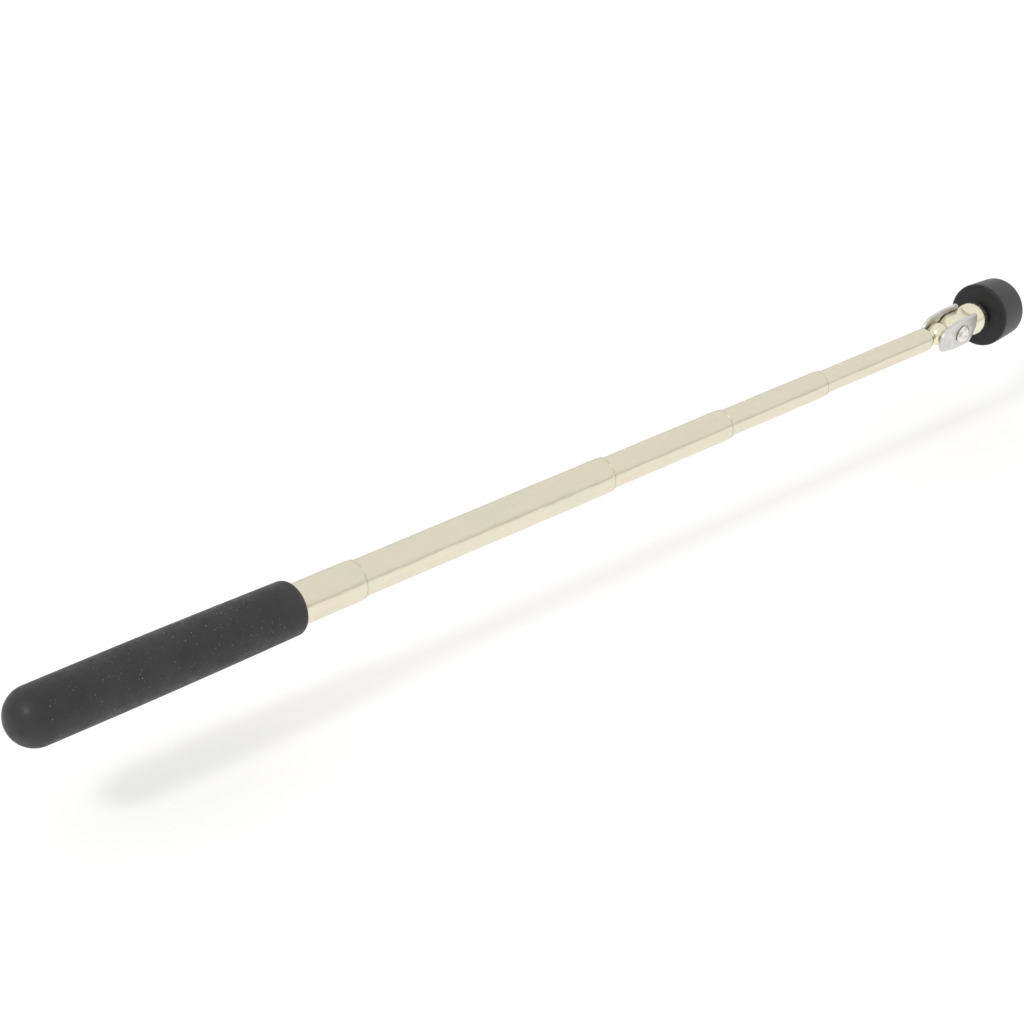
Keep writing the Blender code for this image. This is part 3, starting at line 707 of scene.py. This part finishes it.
stem_back = HEAD_REACH - REST
tail_end = HEAD_REACH + TAIL_LENGTH
boss_start = math.degrees(math.asin((stem_back - BOSS_REACH) / BOSS_RADIUS))
section = [(0, tail_end + TAIL_HEAD), (TAIL_HEAD_RADIUS, tail_end + TAIL_HEAD)]
section += [(TAIL_HEAD_RADIUS, tail_end), (TAIL_RADIUS, tail_end), (TAIL_RADIUS, stem_back)]
section += arc(0, BOSS_REACH, BOSS_RADIUS, boss_start, -90, steps=36)
stem = turned("turned_stem", section, Matrix.Identity(4), zinc_finish, closed=False)
tongue_outline = arc(0, 0, TONGUE_RADIUS, 180, 360, steps=28)
tongue_outline += [(TONGUE_RADIUS, BOSS_REACH), (-TONGUE_RADIUS, BOSS_REACH)]
tongue = blanked("tongue", [tongue_outline], 2 * TONGUE_HALF, TONGUE_EDGE)
tongue.data.transform(flat_in_link)
stem = cut_by(stem, tongue, "UNION")
for side in (-1, 1):
    mesh = bpy.data.meshes.new("milled")
    block = bmesh.new()
    bmesh.ops.create_cube(block, size=1.0)
    size = Vector((4 * BOSS_RADIUS, 2 * BOSS_RADIUS, HEAD_REACH + FLAT_END)) * MM
    centre = Vector((0, side * (TONGUE_HALF + BOSS_RADIUS), (FLAT_END - HEAD_REACH) / 2)) * MM
    block.transform(Matrix.Translation(centre) @ Matrix.Diagonal((*size, 1.0)))
    block.to_mesh(mesh)
    block.free()
    cutter = bpy.data.objects.new("milled", mesh)
    bpy.context.scene.collection.objects.link(cutter)
    stem = cut_by(stem, cutter)
hole_radius = RIVET_RADIUS + RUN
hole = [(0, DRILL_HALF), (hole_radius, DRILL_HALF), (hole_radius, -DRILL_HALF), (0, -DRILL_HALF)]
drill = turned("drill", hole, flat_in_link, None, 0.0, DRILL_FACETS, closed=False)
stem = cut_by(stem, drill)
stem.data.transform(head_line)
stem.data.materials.clear()
stem.data.materials.append(zinc_finish)
smoothed(stem, 30)
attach(stem, "magnet_head")
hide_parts("magnet_stem")

# ---------------------------------------------------------------------------------------
# Magnet shroud
# A black moulded cap over the back and side of the magnet, with small rounded edges and a
# satin skin with light scuffs. Its back is painted darker as painted shade and its side
# paler as painted sheen.
# ---------------------------------------------------------------------------------------

HEAD_RADIUS = 9.8
HEAD_FRONT_RADIUS = 9.2
HEAD_LENGTH = 12.6
SHROUD_WALL = 1.6
SHROUD_EDGE = 1.0
SHROUD_SETBACK = 0.2      # the pulling face stands this far out of the shroud
SHROUD_FACETS = 128

shroud_back = head_line @ Vector((0, 0, HEAD_REACH * MM))
shroud_turn = head_line.to_3x3()


def black_moulding():
    """Satin black plastic, lightly scuffed, with painted shade on the back and painted sheen on the side."""
    plastic = Shader("black_moulding", (0.02, 0.02, 0.022), 0.42)
    plastic.surface.inputs["Specular IOR Level"].default_value = 0.35
    along = plastic.stretched((MM, MM, MM), shroud_back, shroud_turn.to_euler())
    split = plastic.tree.nodes.new("ShaderNodeSeparateXYZ")
    plastic.tree.links.new(along, split.inputs["Vector"])
    # painted shade and sheen: 0 on the back face, which is painted darker, rising to 1 on the side, which is
    # painted paler
    painted_sheen_share = plastic.ramp(split.outputs["Z"], [(0.25, 0.0), (0.9, 1.0)])
    scuff = plastic.noise(1.2 * MM, plastic.stretched((1.0, 5.0, 1.0)), detail=5.0)
    mixed = plastic.tree.nodes.new("ShaderNodeMix")
    mixed.data_type = "RGBA"
    plastic.tree.links.new(painted_sheen_share, mixed.inputs["Factor"])
    # the back's darker tone is painted shade and the side's paler tone is painted sheen; the scuff noise varies
    # each at random
    painted_shade_back = plastic.ramp(scuff, [(0.4, (0.010, 0.010, 0.012)), (0.8, (0.018, 0.018, 0.021))])
    painted_sheen_side = plastic.ramp(scuff, [(0.4, (0.036, 0.036, 0.037)), (0.75, (0.051, 0.051, 0.052))])
    plastic.tree.links.new(painted_shade_back, mixed.inputs["A"])
    plastic.tree.links.new(painted_sheen_side, mixed.inputs["B"])
    plastic.feed("Base Color", mixed.outputs["Result"])
    plastic.feed("Roughness", plastic.ramp(scuff, [(0.35, 0.36), (0.7, 0.5)]))
    plastic.bump(plastic.noise(0.3 * MM, detail=2.0), 0.15, 0.03 * MM)
    return plastic.material


shroud_front = HEAD_REACH + HEAD_LENGTH - SHROUD_SETBACK
inner = HEAD_FRONT_RADIUS - SHROUD_WALL
tail_hole = TAIL_RADIUS + REST
floor_height = HEAD_REACH + SHROUD_WALL
section = [(inner, shroud_front)]
front_edge_radius = HEAD_FRONT_RADIUS - SHROUD_EDGE
section += arc(front_edge_radius, shroud_front - SHROUD_EDGE, SHROUD_EDGE, 90, 0, steps=8)
section += arc(HEAD_RADIUS - SHROUD_EDGE, HEAD_REACH + SHROUD_EDGE, SHROUD_EDGE, 0, -90, steps=8)
section += [(tail_hole, HEAD_REACH), (tail_hole, floor_height), (inner, floor_height)]
shroud = turned("moulded_shroud", section, head_line, black_moulding(), 0.0, SHROUD_FACETS)
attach(shroud, "magnet_head")
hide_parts("magnet_shroud")

# ---------------------------------------------------------------------------------------
# Cup, ring magnet and centre pole
# A nickel-plated steel cup stands just proud of the shroud, with the ring magnet and its
# pole inside. Their faces are ground in one pass and marked by what they have picked up.
# ---------------------------------------------------------------------------------------

CUP_WALL = 1.0
CUP_BASE = 1.6
POLE_RADIUS = 2.9
RING_GAP = 0.4            # resin gap round the magnet ring
FACE_EDGE = 0.14


def ground_nickel(name, colour):
    """Nickel over a ground face, with fine criss-cross scratches."""
    nickel = Shader(name, colour, 0.26, 1.0)
    one_way = nickel.noise(0.25 * MM, nickel.stretched((1.0, 30.0, 1.0), turn=(0.4, 0, 0)))
    other_way = nickel.noise(0.3 * MM, nickel.stretched((1.0, 1.0, 30.0), turn=(0.9, 0, 0)))
    darker = tuple(part * 0.8 for part in colour)
    nickel.feed("Base Color", nickel.ramp(nickel.noise(2 * MM), [(0.3, darker), (0.7, colour)]))
    nickel.feed("Roughness", nickel.ramp(one_way, [(0.3, 0.2), (0.7, 0.38)]))
    nickel.bump(one_way, 0.2, 0.02 * MM)
    nickel.bump(other_way, 0.2, 0.02 * MM)
    return nickel.material


face = HEAD_REACH + HEAD_LENGTH
cup_outer = HEAD_FRONT_RADIUS - SHROUD_WALL - REST
cup_inner = cup_outer - CUP_WALL
cup_base = HEAD_REACH + SHROUD_WALL + REST
cup_floor = cup_base + CUP_BASE
nickel_finish = ground_nickel("cup_nickel", (0.62, 0.61, 0.58))
ring_finish = ground_nickel("ring_nickel", (0.50, 0.50, 0.51))
section = [(cup_inner, face), (cup_outer, face), (cup_outer, cup_base)]
section += [(tail_hole, cup_base), (tail_hole, cup_floor), (cup_inner, cup_floor)]
cup = turned("plated_cup", section, head_line, nickel_finish, FACE_EDGE)
ring_base = cup_floor + REST
ring_outer, ring_inner = cup_inner - RING_GAP, POLE_RADIUS + RING_GAP
section = [(ring_inner, face), (ring_outer, face), (ring_outer, ring_base), (ring_inner, ring_base)]
ring = turned("plated_ring", section, head_line, ring_finish, FACE_EDGE)
pole_base = ring_base + TAIL_HEAD + REST
section = [(0, face), (POLE_RADIUS, face), (POLE_RADIUS, pole_base), (0, pole_base)]
pole = turned("plated_pole", section, head_line, nickel_finish, FACE_EDGE, PIN_FACETS, closed=False)
for piece, node in ((cup, "magnet_cup"), (ring, "magnet_ring"), (pole, "centre_pole")):
    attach(piece, "magnet_head")
    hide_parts(node)

# ---------------------------------------------------------------------------------------
# Floor, light and camera
# A plain pale floor under soft studio light, low enough for the head to be folded down.
# The camera looks down over the grip, with the tool running away from it.
# ---------------------------------------------------------------------------------------

FLOOR_HALF = 6.0          # in metres
FLOOR_DROP = 28.0         # room under the tool for the folded head
CAMERA_FROM_BUTT = Vector((-0.3908, -0.6407, 0.4712))   # in metres, from the butt end's centre
CAMERA_RIGHT = Vector((0.75384, -0.65706, 0.0))
CAMERA_UP = Vector((0.31831, 0.36519, 0.87482))
CAMERA_LENS = 123.05
SOFTBOX_PLACE = Vector((-1.05, -0.25, 1.0))   # in metres, aimed at the middle of the tool
SOFTBOX_SIZE = 0.20
SOFTBOX_POWER = 4.0

mesh = bpy.data.meshes.new("floor")
corners = [(x * FLOOR_HALF, y * FLOOR_HALF) for x, y in ((-1, -1), (1, -1), (1, 1), (-1, 1))]
mesh.from_pydata([(x, y, -FLOOR_DROP * MM) for x, y in corners], [], [(0, 1, 2, 3)])
floor = bpy.data.objects.new("floor", mesh)
bpy.context.scene.collection.objects.link(floor)
paper = Shader("floor_paper", (1.0, 1.0, 1.0), 0.9)
paper.surface.inputs["Specular IOR Level"].default_value = 0.1
paper.surface.inputs["Emission Color"].default_value = (1.0, 1.0, 1.0, 1.0)
paper.surface.inputs["Emission Strength"].default_value = 0.05
floor.data.materials.append(paper.material)

world = bpy.data.worlds.new("studio")
bpy.context.scene.world = world
world.use_nodes = True
sky = world.node_tree.nodes["Background"]
sky.inputs["Strength"].default_value = 0.92
direction = world.node_tree.nodes.new("ShaderNodeTexCoord")
height = world.node_tree.nodes.new("ShaderNodeSeparateXYZ")
horizon = world.node_tree.nodes.new("ShaderNodeValToRGB")
horizon.color_ramp.elements[0].color = (0.62, 0.58, 0.54, 1.0)
horizon.color_ramp.elements[0].position = 0.02
horizon.color_ramp.elements[1].color = (1.0, 0.995, 0.985, 1.0)
horizon.color_ramp.elements[1].position = 0.22
world.node_tree.links.new(direction.outputs["Generated"], height.inputs["Vector"])
world.node_tree.links.new(height.outputs["Z"], horizon.inputs["Fac"])
world.node_tree.links.new(horizon.outputs["Color"], sky.inputs["Color"])
bpy.context.scene.view_settings.view_transform = "Standard"


softbox = bpy.data.lights.new("softbox", "AREA")
softbox.size = SOFTBOX_SIZE
softbox.energy = SOFTBOX_POWER
softbox.color = (1.0, 0.99, 0.97)
lamp = bpy.data.objects.new("softbox", softbox)
bpy.context.scene.collection.objects.link(lamp)
lamp.location = SOFTBOX_PLACE
lamp.rotation_euler = (-SOFTBOX_PLACE).to_track_quat("-Z", "Y").to_euler()

camera_data = bpy.data.cameras.new("camera")
camera_data.lens = CAMERA_LENS
camera_data.sensor_width = 36.0
camera_data.clip_start = 0.01
camera = bpy.data.objects.new("camera", camera_data)
bpy.context.scene.collection.objects.link(camera)
back = CAMERA_RIGHT.cross(CAMERA_UP).normalized()
turn = Matrix((CAMERA_RIGHT.normalized(), back.cross(CAMERA_RIGHT.normalized()), back)).transposed()
camera.matrix_world = Matrix.Translation(tool_line.translation + CAMERA_FROM_BUTT) @ turn.to_4x4()
bpy.context.scene.camera = camera
